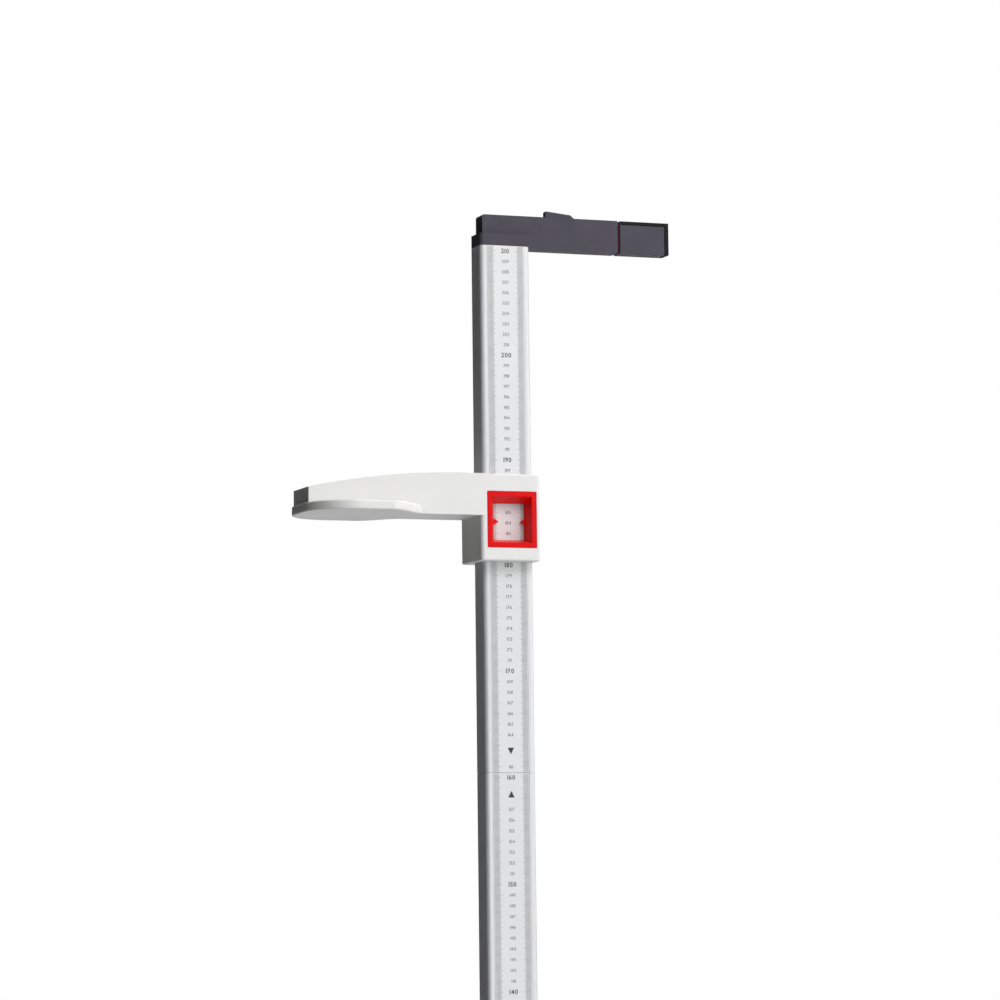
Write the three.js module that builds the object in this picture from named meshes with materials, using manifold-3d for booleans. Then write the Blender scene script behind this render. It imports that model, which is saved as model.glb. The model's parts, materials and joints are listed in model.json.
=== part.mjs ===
// Free-standing height measuring rod (stadiometer): a platform, a plug-together column with a centimetre
// scale, a sliding head piece with a reading window, and a wall spacer with a telescoping end piece.
// Frame: X across the person, -Y the person's side, +Y the wall side, +Z up, origin on the floor under the
// middle of the bounding box. Units are millimetres.
import * as THREE from 'three';
import * as BufferGeometryUtils from 'three/addons/utils/BufferGeometryUtils.js';
import Module from 'manifold-3d';

const wasm = await Module();
wasm.setup();

// ---- driving dimensions ----
const GAP = 0.3;                      // clearance between pieces that touch

const WALL_Y = 289;                   // plane that the spacer and the platform's rear edge meet
const PLATFORM = { width: 330, depth: 2 * WALL_Y, corner: 42, bottom: 3, top: 15, skin: 3.5 };
const FOOT_PAD = { radius: 13, height: 4.5, insetX: 34, insetY: 40 };
const BOTTOM_PLATE = { thickness: 2, clearance: 1 };

const COLUMN_Y = 118;                 // column centre, in front of the wall plane
const COLUMN = { width: 28, depth: 50, corner: 4, wall: 2 };
const JOINT_HEIGHTS = [608.3, 1111.3, 1614.3];   // where the four sections meet
const COLUMN_BOTTOM = 45;             // lowest section's end, inside the socket
const COLUMN_TOP = 2115.2;
const STRIP = { width: 36, thickness: 0.5, channel: 0.8 };
const PLUG = { length: 120, wall: 3 };
const SOCKET = { width: 54, depth: 78, corner: 9, top: 99 };
const SOCKET_FLANGE = { width: 92, depth: 122, corner: 14, height: 6, screwX: 36, screwY: 50 };

// The slide's heights are measured from SLIDE_Z. Its pointers stand at the middle of the window's throat.
const SLIDE_Z = 1844.6;
const SLIDE = { halfWidth: 28.75, front: -32.3, back: 27.4, bottom: -31.5, top: 50.7, wall: 2.5, lip: 3 };
const SLIDE_BORE = { halfWidth: 14.6, front: -25.6, back: 25.6 };
const REAR_COVER = { halfWidth: 21, bottom: -24, top: 43, thickness: 1.4 };
const WINDOW = { centreY: -1.4, centreZ: 7.5, width: 49.2, height: 53, border: 4.8, face: 29, flange: 2.5 };
const WINDOW_INNER = { x: 15.4, centreY: 0.2, centreZ: 6.3, width: 30.6, height: 34.6, wall: 1.4 };
const POINTER = { length: 4.5, halfHeight: 3.2, depth: 1.4 };

const HEAD_CONTACT = 11.2;            // head plate's underside, above SLIDE_Z
const PLATE = { thickness: 9, front: -203, back: -88, halfWidth: 59, shoulder: -130, corner: 45 };
const BEAM = { tip: -200.3, tipHalfWidth: 23.3, tipTop: 35.1, curveStart: -50, straightTo: -95, skin: 3 };

const SPACER = {
  halfWidth: 9, front: -20.9, seam: 117.8, end: 171, bottom: COLUMN_TOP - 1, top: COLUMN_TOP + 30.3, wall: 2,
};
const COLLAR = { bottom: COLUMN_TOP + GAP, top: COLUMN_TOP + 11.6, plugLength: 42 };
const TONGUE = { front: 42, top: COLUMN_TOP + 12.9, clearance: 0.4 };
const SHELF = { bottom: COLUMN_TOP + 13.3, top: COLUMN_TOP + 14.9 };
const LATCH = { front: 45.5, flatTo: 71.5, back: 75.5, halfWidth: 3, height: 7.1, fall: 2.6, flange: 1.6 };
const STOP_RING = { thickness: 2.2, inset: 0.9 };      // red ring in the seam, round the end piece's tongue
const BUMPER = { thickness: 4.2, lip: 3.4, clearOfSeam: 3.4 };

// ---- materials ----
const material = (color, roughness, metalness = 0) =>
  new THREE.MeshStandardMaterial({ color, roughness, metalness });
const ALUMINIUM = material(0xd6d8da, 0.38, 0.9);
const SCALE_WHITE = material(0xe2e3e3, 0.55);
const WHITE_PLASTIC = material(0xececea, 0.42);
const PLATFORM_GREY = material(0xd4d6d7, 0.6);
const DARK_PLASTIC = material(0x55525c, 0.55);
const RED_PLASTIC = material(0xd81418, 0.35);
const DARK_RED_PLASTIC = material(0x4b323c, 0.5);
const RUBBER = material(0x26262a, 0.85);
const STEEL = material(0xb4b6ba, 0.32, 1);
const GLIDE_PLASTIC = material(0xf1efe6, 0.5);

// ---- solids ----
const UNIT = new THREE.Matrix4();
// Axes for a shape drawn in the YZ plane and extruded along X.
const YZ_TO_X = new THREE.Matrix4().makeBasis(
  new THREE.Vector3(0, 1, 0), new THREE.Vector3(0, 0, 1), new THREE.Vector3(1, 0, 0));

function extrude(shape, from, to, axes = UNIT, curveSegments = 6) {
  const geometry = new THREE.ExtrudeGeometry(shape, { depth: to - from, bevelEnabled: false, curveSegments });
  return geometry.translate(0, 0, from).applyMatrix4(axes);
}

function box(x0, x1, y0, y1, z0, z1) {
  const geometry = new THREE.BoxGeometry(x1 - x0, y1 - y0, z1 - z0);
  return geometry.translate((x0 + x1) / 2, (y0 + y1) / 2, (z0 + z1) / 2);
}

function rod(radius, from, to, x, y, sides = 20) {
  const geometry = new THREE.CylinderGeometry(radius, radius, to - from, sides).rotateX(Math.PI / 2);
  return geometry.translate(x, y, (from + to) / 2);
}

function roundedRect(x0, x1, y0, y1, r) {
  const shape = new THREE.Shape();
  shape.moveTo(x0 + r, y0).lineTo(x1 - r, y0).absarc(x1 - r, y0 + r, r, -Math.PI / 2, 0);
  shape.lineTo(x1, y1 - r).absarc(x1 - r, y1 - r, r, 0, Math.PI / 2);
  shape.lineTo(x0 + r, y1).absarc(x0 + r, y1 - r, r, Math.PI / 2, Math.PI);
  shape.lineTo(x0, y0 + r).absarc(x0 + r, y0 + r, r, Math.PI, Math.PI * 1.5);
  return shape;
}

// A block whose two ends across X are rectangles { y0, y1, z0, z1 }.
function taperedBlock(xa, a, xb, b) {
  const corners = (x, r) => [[x, r.y0, r.z0], [x, r.y1, r.z0], [x, r.y1, r.z1], [x, r.y0, r.z1]];
  const geometry = new THREE.BufferGeometry();
  const positions = [...corners(xa, a), ...corners(xb, b)].flat();
  geometry.setAttribute('position', new THREE.Float32BufferAttribute(positions, 3));
  geometry.setIndex([0, 2, 1, 0, 3, 2, 4, 5, 6, 4, 6, 7, 0, 1, 5, 0, 5, 4, 1, 2, 6, 1, 6, 5,
    2, 3, 7, 2, 7, 6, 3, 0, 4, 3, 4, 7]);
  return geometry;
}

function solid(geometry) {
  const bare = geometry.clone();
  bare.deleteAttribute('normal');
  bare.deleteAttribute('uv');
  const merged = BufferGeometryUtils.mergeVertices(bare, 1e-4);
  return new wasm.Manifold(new wasm.Mesh({
    numProp: 3,
    vertProperties: new Float32Array(merged.attributes.position.array),
    triVerts: new Uint32Array(merged.index.array),
  }));
}

function toGeometry(manifold) {
  const { vertProperties, triVerts } = manifold.getMesh();
  const geometry = new THREE.BufferGeometry();
  geometry.setAttribute('position', new THREE.BufferAttribute(vertProperties, 3));
  geometry.setIndex(new THREE.BufferAttribute(triVerts, 1));
  geometry.computeVertexNormals();
  return geometry;
}

const join = (...geometries) => toGeometry(geometries.map(solid).reduce((a, b) => a.add(b)));
const cut = (body, ...tools) => toGeometry(tools.map(solid).reduce((a, b) => a.subtract(b), solid(body)));
const overlap = (a, b) => toGeometry(solid(a).intersect(solid(b)));

const part = new THREE.Group();

function add(name, geometry, look, x = 0, y = 0, z = 0) {
  const mesh = new THREE.Mesh(geometry, look);
  mesh.name = name;
  mesh.position.set(x, y, z);
  part.add(mesh);
}

// Calls place(x, y, number) at the four corners (+-x, +-y).
function atFourCorners(x, y, place) {
  let number = 1;
  for (const sx of [-1, 1]) {
    for (const sy of [-1, 1]) {
      place(sx * x, sy * y, number);
      number += 1;
    }
  }
}

// ---- platform ----
function platformOutline(inset) {
  const { width, depth, corner } = PLATFORM;
  const x = width / 2 - inset;
  const y = depth / 2 - inset;
  return roundedRect(-x, x, -y, y, corner - inset);
}

function buildPlatform() {
  const { bottom, top, skin, width, depth } = PLATFORM;
  const tray = cut(
    extrude(platformOutline(0), bottom, top, UNIT, 8),
    extrude(platformOutline(skin), bottom - 1, top - skin, UNIT, 8));
  add('platform_top', tray, PLATFORM_GREY);

  const plateTop = bottom + BOTTOM_PLATE.thickness;
  const plate = extrude(platformOutline(skin + BOTTOM_PLATE.clearance), bottom, plateTop, UNIT, 8);
  add('platform_bottom_plate', plate, PLATFORM_GREY);

  // Ribs stand between the bottom plate and the tray's skin, lengthways and across.
  const ribBottom = plateTop + GAP;
  const ribTop = top - skin - GAP;
  const ribs = [];
  const ribHalf = 1.5;
  for (const x of [-90, 0, 90]) {
    ribs.push(box(x - ribHalf, x + ribHalf, -depth / 2 + 40, depth / 2 - 40, ribBottom, ribTop));
  }
  for (const y of [-190, -65, 60, 180]) {
    ribs.push(box(-width / 2 + 30, width / 2 - 30, y - ribHalf, y + ribHalf, ribBottom, ribTop));
  }
  add('platform_ribs', join(...ribs), PLATFORM_GREY);

  const padX = width / 2 - FOOT_PAD.insetX;
  const padY = depth / 2 - FOOT_PAD.insetY;
  const corners = { front_left: [-1, -1], front_right: [1, -1], back_left: [-1, 1], back_right: [1, 1] };
  for (const [place, [sx, sy]] of Object.entries(corners)) {
    add(`foot_pad_${place}`, rod(FOOT_PAD.radius, 0, bottom - GAP, 0, 0, 28), RUBBER, sx * padX, sy * padY);
  }
  atFourCorners(padX - 32, padY, (x, y, i) => {
    add(`platform_screw_${i}`, rod(3, 1.2, bottom - GAP, 0, 0, 12), STEEL, x, y);
  });
}

// ---- column ----
function columnOutline() {
  const { width, depth, corner } = COLUMN;
  const x = width / 2;
  const y = depth / 2;
  const floor = x - STRIP.channel;
  const edge = STRIP.width / 2 + GAP;
  const outline = new THREE.Shape();
  outline.moveTo(-x + corner, -y).lineTo(x - corner, -y);
  outline.absarc(x - corner, -y + corner, corner, -Math.PI / 2, 0);
  outline.lineTo(x, -edge).lineTo(floor, -edge).lineTo(floor, edge).lineTo(x, edge);
  outline.lineTo(x, y - corner).absarc(x - corner, y - corner, corner, 0, Math.PI / 2);
  outline.lineTo(-x + corner, y).absarc(-x + corner, y - corner, corner, Math.PI / 2, Math.PI);
  outline.lineTo(-x, -y + corner).absarc(-x + corner, -y + corner, corner, Math.PI, Math.PI * 1.5);
  return outline;
}

function columnBore(inset) {
  const x = COLUMN.width / 2 - COLUMN.wall - inset;
  const y = COLUMN.depth / 2 - COLUMN.wall - inset;
  return roundedRect(-x, x - STRIP.channel, -y, y, COLUMN.corner - COLUMN.wall);
}

function buildColumn() {
  const section = columnOutline();
  section.holes.push(columnBore(0));
  const ends = [COLUMN_BOTTOM, ...JOINT_HEIGHTS, COLUMN_TOP];
  const stripX = COLUMN.width / 2 - STRIP.thickness;
  for (let i = 0; i < ends.length - 1; i += 1) {
    const from = ends[i] + (i > 0 ? GAP : 0);
    const to = ends[i + 1];
    const stripFrom = i > 0 ? from : SOCKET.top + GAP;
    add(`column_section_${i + 1}`, extrude(section, from, to), ALUMINIUM, 0, COLUMN_Y);
    const strip = box(stripX, COLUMN.width / 2, -STRIP.width / 2, STRIP.width / 2, stripFrom, to);
    add(`scale_strip_${i + 1}`, strip, SCALE_WHITE, 0, COLUMN_Y);
  }
  const plug = columnBore(GAP);
  plug.holes.push(columnBore(GAP + PLUG.wall));
  JOINT_HEIGHTS.forEach((height, i) => {
    const geometry = extrude(plug, height - PLUG.length / 2, height + PLUG.length / 2, UNIT, 3);
    add(`joint_plug_${i + 1}`, geometry, DARK_PLASTIC, 0, COLUMN_Y);
  });
}

function buildSocket() {
  const { width, depth, corner, top } = SOCKET;
  const bottom = PLATFORM.top + GAP;
  const tower = extrude(roundedRect(-width / 2, width / 2, -depth / 2, depth / 2, corner), bottom, top);
  const flangeX = SOCKET_FLANGE.width / 2;
  const flangeY = SOCKET_FLANGE.depth / 2;
  const flangeTop = bottom + SOCKET_FLANGE.height;
  const flangeOutline = roundedRect(-flangeX, flangeX, -flangeY, flangeY, SOCKET_FLANGE.corner);
  const flange = extrude(flangeOutline, bottom, flangeTop);
  const x = COLUMN.width / 2 + GAP;
  const y = COLUMN.depth / 2 + GAP;
  const pocket = extrude(roundedRect(-x, x, -y, y, COLUMN.corner), COLUMN_BOTTOM - GAP, top + 1);
  add('column_socket', cut(join(tower, flange), pocket), DARK_PLASTIC, 0, COLUMN_Y);
  const head = flangeTop + GAP;
  atFourCorners(SOCKET_FLANGE.screwX, SOCKET_FLANGE.screwY, (x, y, i) => {
    add(`socket_screw_${i}`, rod(4.2, head, head + 2.2, 0, 0, 16), STEEL, x, COLUMN_Y + y);
  });
}

// ---- slide ----
function buildSlideHousing() {
  const { halfWidth, front, back, bottom, top, wall, lip } = SLIDE;
  const outer = extrude(roundedRect(-halfWidth, halfWidth, front, back, 3), bottom, top, UNIT, 4);
  const inner = box(-halfWidth + wall, halfWidth - wall, front + wall, back - 1.8, bottom + lip, top - lip);
  const bore = box(-SLIDE_BORE.halfWidth, SLIDE_BORE.halfWidth, SLIDE_BORE.front, SLIDE_BORE.back,
    bottom - 1, top + 1);
  const rear = box(-REAR_COVER.halfWidth - GAP, REAR_COVER.halfWidth + GAP, back - 4, back + 1,
    REAR_COVER.bottom - GAP, REAR_COVER.top + GAP);
  const window = box(halfWidth - wall - 1, halfWidth + 1,
    WINDOW.centreY - WINDOW.width / 2 - GAP, WINDOW.centreY + WINDOW.width / 2 + GAP,
    WINDOW.centreZ - WINDOW.height / 2 - GAP, WINDOW.centreZ + WINDOW.height / 2 + GAP);
  add('slide_housing', cut(outer, inner, bore, rear, window), WHITE_PLASTIC, 0, COLUMN_Y, SLIDE_Z);

  const cover = box(-REAR_COVER.halfWidth, REAR_COVER.halfWidth, back - REAR_COVER.thickness, back,
    REAR_COVER.bottom, REAR_COVER.top);
  add('slide_rear_cover', cover, WHITE_PLASTIC, 0, COLUMN_Y, SLIDE_Z);
}

function buildWindowFrame() {
  const rect = (centreY, centreZ, width, height) => ({
    y0: centreY - width / 2, y1: centreY + width / 2, z0: centreZ - height / 2, z1: centreZ + height / 2 });
  const { centreY, centreZ, width, height, border, face, flange } = WINDOW;
  const inner = WINDOW_INNER;
  const mouth = rect(centreY, centreZ, width - 2 * border, height - 2 * border);
  const throat = rect(inner.centreY, inner.centreZ, inner.width, inner.height);
  const wall = inner.wall * 2;
  const outerMouth = rect(centreY, centreZ, width - 2 * border + wall, height - 2 * border + wall);
  const outerThroat = rect(inner.centreY, inner.centreZ, inner.width + wall, inner.height + wall);
  const rim = rect(centreY, centreZ, width, height);
  const funnel = taperedBlock(inner.x, outerThroat, face - flange, outerMouth);
  const body = join(funnel, taperedBlock(face - flange - 0.01, rim, face, rim));
  const opening = taperedBlock(inner.x, throat, face, mouth);
  const throughThroat = taperedBlock(inner.x - 1, throat, inner.x + 0.1, throat);
  const throughMouth = taperedBlock(face - 0.05, mouth, face + 1, mouth);
  const frame = cut(body, opening, throughThroat, throughMouth);

  // A pointer stands out from the middle of each side of the throat, rooted a little way into its wall.
  const rooting = 0.6;
  const pointers = [[throat.y0, 1], [throat.y1, -1]].map(([wallY, inward]) => {
    const root = wallY - inward * rooting;
    const shape = new THREE.Shape();
    shape.moveTo(root, inner.centreZ - POINTER.halfHeight);
    shape.lineTo(wallY + inward * POINTER.length, inner.centreZ);
    shape.lineTo(root, inner.centreZ + POINTER.halfHeight).closePath();
    return extrude(shape, inner.x, inner.x + POINTER.depth, YZ_TO_X);
  });
  add('window_frame', join(frame, ...pointers), RED_PLASTIC, 0, COLUMN_Y, SLIDE_Z);
}

// A coil spring along Z from 0 to length.
function coilSpring(radius, wire, length, turns) {
  const points = [];
  const steps = turns * 10;
  for (let i = 0; i <= steps; i += 1) {
    const angle = (i / 10) * Math.PI * 2;
    const z = wire + (i / steps) * (length - 2 * wire);
    points.push(new THREE.Vector3(radius * Math.cos(angle), radius * Math.sin(angle), z));
  }
  const section = new THREE.Shape().absarc(0, 0, wire, 0, Math.PI * 2);
  const extrudePath = new THREE.CatmullRomCurve3(points);
  return new THREE.ExtrudeGeometry(section, { steps, extrudePath, bevelEnabled: false, curveSegments: 3 });
}

function buildSlideInner() {
  const { halfWidth, front, wall, bottom, top, lip } = SLIDE;
  const columnFront = -COLUMN.depth / 2 - GAP;
  const columnSide = -COLUMN.width / 2 - GAP;
  const padHeight = 14;
  const levels = { top: top - lip - GAP - padHeight, bottom: bottom + lip + GAP };
  for (const [place, z] of Object.entries(levels)) {
    const frontPad = box(-8, 8, front + wall + GAP, columnFront, z, z + padHeight);
    add(`glide_pad_front_${place}`, frontPad, GLIDE_PLASTIC, 0, COLUMN_Y, SLIDE_Z);
    const sidePad = box(-halfWidth + wall + GAP, columnSide, -12, 12, z, z + padHeight);
    add(`glide_pad_side_${place}`, sidePad, GLIDE_PLASTIC, 0, COLUMN_Y, SLIDE_Z);
  }
  const padThickness = 3.4;
  const brakePad = box(columnSide - padThickness, columnSide, -9, 9, -2, 22);
  add('brake_pad', brakePad, RUBBER, 0, COLUMN_Y, SLIDE_Z);
  const springLength = halfWidth - wall + columnSide - padThickness - 2 * GAP;
  const spring = coilSpring(3.6, 0.5, springLength, 4).rotateY(-Math.PI / 2);
  add('brake_spring', spring, STEEL, columnSide - padThickness - GAP, COLUMN_Y, SLIDE_Z + 10);

  // The cover's screws and the arm's screws lie along Y, with their heads inside the housing.
  const coverInside = SLIDE.back - REAR_COVER.thickness - GAP;
  const coverScrew = rod(1.9, -1.6, 0, 0, 0, 12).rotateX(-Math.PI / 2);
  atFourCorners(18.5, 30, (x, z, i) => {
    add(`cover_screw_${i}`, coverScrew.clone(), STEEL, x, COLUMN_Y + coverInside, SLIDE_Z + 10 + z);
  });
  const armInside = front + wall + GAP;
  const armScrew = rod(3, 0, 2, 0, 0, 14).rotateX(-Math.PI / 2);
  atFourCorners(19, 10, (x, z, i) => {
    add(`arm_screw_${i}`, armScrew.clone(), STEEL, x, COLUMN_Y + armInside, SLIDE_Z + 32 + z);
  });
}

// ---- measuring arm ----
// The beam seen from the side, with its skin taken off all round.
function beamProfile(skin) {
  const root = SLIDE.front - GAP - skin;
  const top = SLIDE.top - skin;
  const seat = HEAD_CONTACT + PLATE.thickness + GAP;
  const tip = BEAM.tip + skin;
  const tipTop = BEAM.tipTop - skin;
  const step = PLATE.back + GAP + skin;
  const floor = HEAD_CONTACT + skin;
  const round = 4;
  const shape = new THREE.Shape();
  shape.moveTo(root, floor).lineTo(root, top).lineTo(BEAM.curveStart, top);
  shape.quadraticCurveTo((BEAM.curveStart + tip) / 2, top, tip + round, tipTop + round * 0.2);
  shape.quadraticCurveTo(tip, tipTop, tip, tipTop - round).lineTo(tip, seat);
  shape.lineTo(step, seat).lineTo(step, floor).closePath();
  return shape;
}

function beamPlan(skin) {
  const wide = SLIDE.halfWidth - skin;
  const narrow = BEAM.tipHalfWidth - skin;
  const shape = new THREE.Shape();
  shape.moveTo(-wide, SLIDE.front).lineTo(-wide, BEAM.straightTo).lineTo(-narrow, BEAM.tip);
  shape.lineTo(narrow, BEAM.tip).lineTo(wide, BEAM.straightTo).lineTo(wide, SLIDE.front).closePath();
  return shape;
}

function platePlan() {
  const { front, back, halfWidth, shoulder, corner } = PLATE;
  const neck = SLIDE.halfWidth;
  const middle = (shoulder + back) / 2;
  const halfway = (halfWidth + neck) / 2;
  const shape = new THREE.Shape();
  shape.moveTo(-halfWidth + corner, front).lineTo(halfWidth - corner, front);
  shape.absarc(halfWidth - corner, front + corner, corner, -Math.PI / 2, 0).lineTo(halfWidth, shoulder);
  shape.quadraticCurveTo(halfWidth, (shoulder + middle) / 2, halfway, middle);
  shape.quadraticCurveTo(neck, (middle + back) / 2, neck, back).lineTo(-neck, back);
  shape.quadraticCurveTo(-neck, (middle + back) / 2, -halfway, middle);
  shape.quadraticCurveTo(-halfWidth, (shoulder + middle) / 2, -halfWidth, shoulder);
  shape.lineTo(-halfWidth, front + corner);
  shape.absarc(-halfWidth + corner, front + corner, corner, Math.PI, Math.PI * 1.5);
  return shape;
}

function buildArm() {
  const reach = 2 * SLIDE.halfWidth;
  const beam = (skin) => overlap(
    extrude(beamProfile(skin), -reach, reach, YZ_TO_X, 8), extrude(beamPlan(skin), 0, SLIDE.top + 1));
  const seat = HEAD_CONTACT + PLATE.thickness;
  const mouthHalf = BEAM.tipHalfWidth - 5;
  const mouth = box(-mouthHalf, mouthHalf, BEAM.tip + 8, PLATE.back - 6, seat, seat + 2);
  add('arm_beam', cut(beam(0), beam(BEAM.skin), mouth), WHITE_PLASTIC, 0, COLUMN_Y, SLIDE_Z);
  const plate = extrude(platePlan(), HEAD_CONTACT, seat, UNIT, 8);
  add('head_plate', plate, WHITE_PLASTIC, 0, COLUMN_Y, SLIDE_Z);
}

// ---- wall spacer ----
function buildSpacer() {
  const { halfWidth, front, seam, end, bottom, top, wall } = SPACER;
  const behindColumn = COLUMN.depth / 2 + GAP;
  const sideView = new THREE.Shape();
  sideView.moveTo(front, COLLAR.bottom + 3).lineTo(behindColumn, COLLAR.bottom + 3);
  sideView.lineTo(behindColumn, bottom).lineTo(seam, bottom).lineTo(seam, top);
  sideView.lineTo(front + 1.5, top).lineTo(front, top - 1.5).closePath();
  const arm = extrude(sideView, -halfWidth, halfWidth, YZ_TO_X);
  const collar = extrude(
    roundedRect(-COLUMN.width / 2, COLUMN.width / 2, -COLUMN.depth / 2, behindColumn + 1, COLUMN.corner),
    COLLAR.bottom, COLLAR.top);
  const plug = extrude(columnBore(GAP), COLLAR.bottom - COLLAR.plugLength, COLLAR.bottom + 1, UNIT, 3);
  const inner = halfWidth - wall;
  const rearEnd = seam + 1;
  const tongueBay = box(-inner, inner, TONGUE.front - 8, rearEnd, bottom + wall, SHELF.bottom);
  const latchBay = box(-inner, inner, TONGUE.front - 8, rearEnd, SHELF.top, top - wall);
  const latchSlot = box(-LATCH.halfWidth - GAP, LATCH.halfWidth + GAP, LATCH.front - GAP, LATCH.back + GAP,
    top - wall - 1, top + 1);
  const shell = join(arm, collar, plug);
  add('spacer_housing', cut(shell, tongueBay, latchBay, latchSlot), DARK_PLASTIC, 0, COLUMN_Y);

  // The end piece slides out of the housing on a tongue, which a red ring surrounds in the seam. Its rubber
  // bumper covers the face at the wall and turns forward along the top as a lip.
  const slideHalf = inner - TONGUE.clearance;
  const tongueBottom = bottom + wall + TONGUE.clearance;
  const ringBack = seam + GAP + STOP_RING.thickness;
  const blockFront = ringBack + GAP;
  const blockBack = end - BUMPER.thickness - GAP;
  const lipBottom = top - BUMPER.lip;
  const block = box(-halfWidth, halfWidth, blockFront, blockBack, bottom, lipBottom - GAP);
  const shoulder = box(-halfWidth, halfWidth, blockFront, seam + BUMPER.clearOfSeam, lipBottom - 1, top);
  const tongue = box(-slideHalf, slideHalf, TONGUE.front, blockFront + 1, tongueBottom, TONGUE.top);
  add('spacer_end_piece', join(block, shoulder, tongue), DARK_PLASTIC, 0, COLUMN_Y);

  const ringHalf = halfWidth - STOP_RING.inset;
  const ring = box(-ringHalf, ringHalf, seam + GAP, ringBack, bottom + STOP_RING.inset,
    top - STOP_RING.inset);
  const ringHole = box(-slideHalf - GAP, slideHalf + GAP, seam, ringBack + 1, tongueBottom - GAP,
    TONGUE.top + GAP);
  add('spacer_stop_ring', cut(ring, ringHole), DARK_RED_PLASTIC, 0, COLUMN_Y);

  const face = box(-halfWidth, halfWidth, end - BUMPER.thickness, end, bottom, top);
  const lip = box(-halfWidth, halfWidth, seam + BUMPER.clearOfSeam + GAP, end - 1, lipBottom, top);
  add('wall_bumper', join(face, lip), RUBBER, 0, COLUMN_Y);
}

function buildLatch() {
  const ceiling = SPACER.top - SPACER.wall;
  const flangeTop = ceiling - GAP;
  const flangeBottom = flangeTop - 3;
  const capTop = SPACER.top + LATCH.height;
  const cap = new THREE.Shape();
  cap.moveTo(LATCH.front, flangeBottom).lineTo(LATCH.back, flangeBottom).lineTo(LATCH.back, SPACER.top + 1.2);
  cap.lineTo(LATCH.flatTo, capTop - LATCH.fall).lineTo(LATCH.front + 1, capTop);
  cap.lineTo(LATCH.front, capTop - 1);
  cap.closePath();
  const reach = LATCH.halfWidth + LATCH.flange;
  const flange = box(-reach, reach, LATCH.front - 2, LATCH.back + 2, flangeBottom, flangeTop);
  const button = join(extrude(cap, -LATCH.halfWidth, LATCH.halfWidth, YZ_TO_X), flange);
  add('latch_button', button, DARK_PLASTIC, 0, COLUMN_Y);
  const springBottom = SHELF.top + GAP;
  const spring = coilSpring(3.6, 0.45, flangeBottom - GAP - springBottom, 4);
  add('latch_spring', spring, STEEL, 0, COLUMN_Y + (LATCH.front + LATCH.back) / 2, springBottom);
}

buildPlatform();
buildSocket();
buildColumn();
buildSlideHousing();
buildWindowFrame();
buildSlideInner();
buildArm();
buildSpacer();
buildLatch();

export default part;
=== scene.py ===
"""Looks of the free-standing stadiometer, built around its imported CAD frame. Lengths are in metres."""
import json
import math

import bmesh
import bpy
from mathutils import Matrix, Vector


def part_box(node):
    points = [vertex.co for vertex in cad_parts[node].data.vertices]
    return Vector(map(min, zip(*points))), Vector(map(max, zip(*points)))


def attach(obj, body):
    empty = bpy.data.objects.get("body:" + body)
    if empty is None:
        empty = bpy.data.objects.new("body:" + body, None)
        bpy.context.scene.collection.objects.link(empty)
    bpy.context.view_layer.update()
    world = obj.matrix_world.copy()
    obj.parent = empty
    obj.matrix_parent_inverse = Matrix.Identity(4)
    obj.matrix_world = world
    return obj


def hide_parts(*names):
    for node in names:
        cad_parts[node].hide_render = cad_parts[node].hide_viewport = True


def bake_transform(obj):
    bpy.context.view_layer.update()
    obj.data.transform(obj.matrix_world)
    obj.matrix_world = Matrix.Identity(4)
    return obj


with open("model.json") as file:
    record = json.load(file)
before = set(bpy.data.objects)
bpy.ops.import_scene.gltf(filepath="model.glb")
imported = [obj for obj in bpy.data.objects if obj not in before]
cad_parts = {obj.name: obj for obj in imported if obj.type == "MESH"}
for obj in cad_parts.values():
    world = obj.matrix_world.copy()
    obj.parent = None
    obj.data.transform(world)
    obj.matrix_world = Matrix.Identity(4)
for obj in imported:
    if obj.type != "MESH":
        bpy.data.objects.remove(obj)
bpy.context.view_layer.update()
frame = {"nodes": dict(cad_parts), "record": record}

MM = 0.001
SCENE = bpy.context.scene

# ---- camera ----
CAMERA_PLACE = Vector((3.424, -1.148, 1.516))
CAMERA_AZIMUTH = 69.75      # degrees; 0 looks along +Y and 90 along -X
CAMERA_RISE = 5.59          # degrees above level
CAMERA_ROLL = -0.67         # degrees
CAMERA_LENS = 139.1         # mm
CAMERA_SENSOR = 36.0        # mm


def make_camera():
    azimuth = math.radians(CAMERA_AZIMUTH)
    rise = math.radians(CAMERA_RISE)
    roll = math.radians(CAMERA_ROLL)
    forward = Vector((-math.sin(azimuth) * math.cos(rise),
                      math.cos(azimuth) * math.cos(rise),
                      math.sin(rise)))
    level = Vector((math.cos(azimuth), math.sin(azimuth), 0.0))
    upright = level.cross(forward)
    right = level * math.cos(roll) + upright * math.sin(roll)
    up = upright * math.cos(roll) - level * math.sin(roll)
    data = bpy.data.cameras.new("camera")
    data.lens = CAMERA_LENS
    data.sensor_width = CAMERA_SENSOR
    data.clip_end = 100.0
    camera = bpy.data.objects.new("camera", data)
    turn = Matrix((right, up, -forward)).transposed().to_4x4()
    camera.matrix_world = Matrix.Translation(CAMERA_PLACE) @ turn
    SCENE.collection.objects.link(camera)
    SCENE.camera = camera


# ---- materials ----
NOISE_MIDDLE = (0.3, 0.7)       # most of a noise's values lie between these


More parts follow.
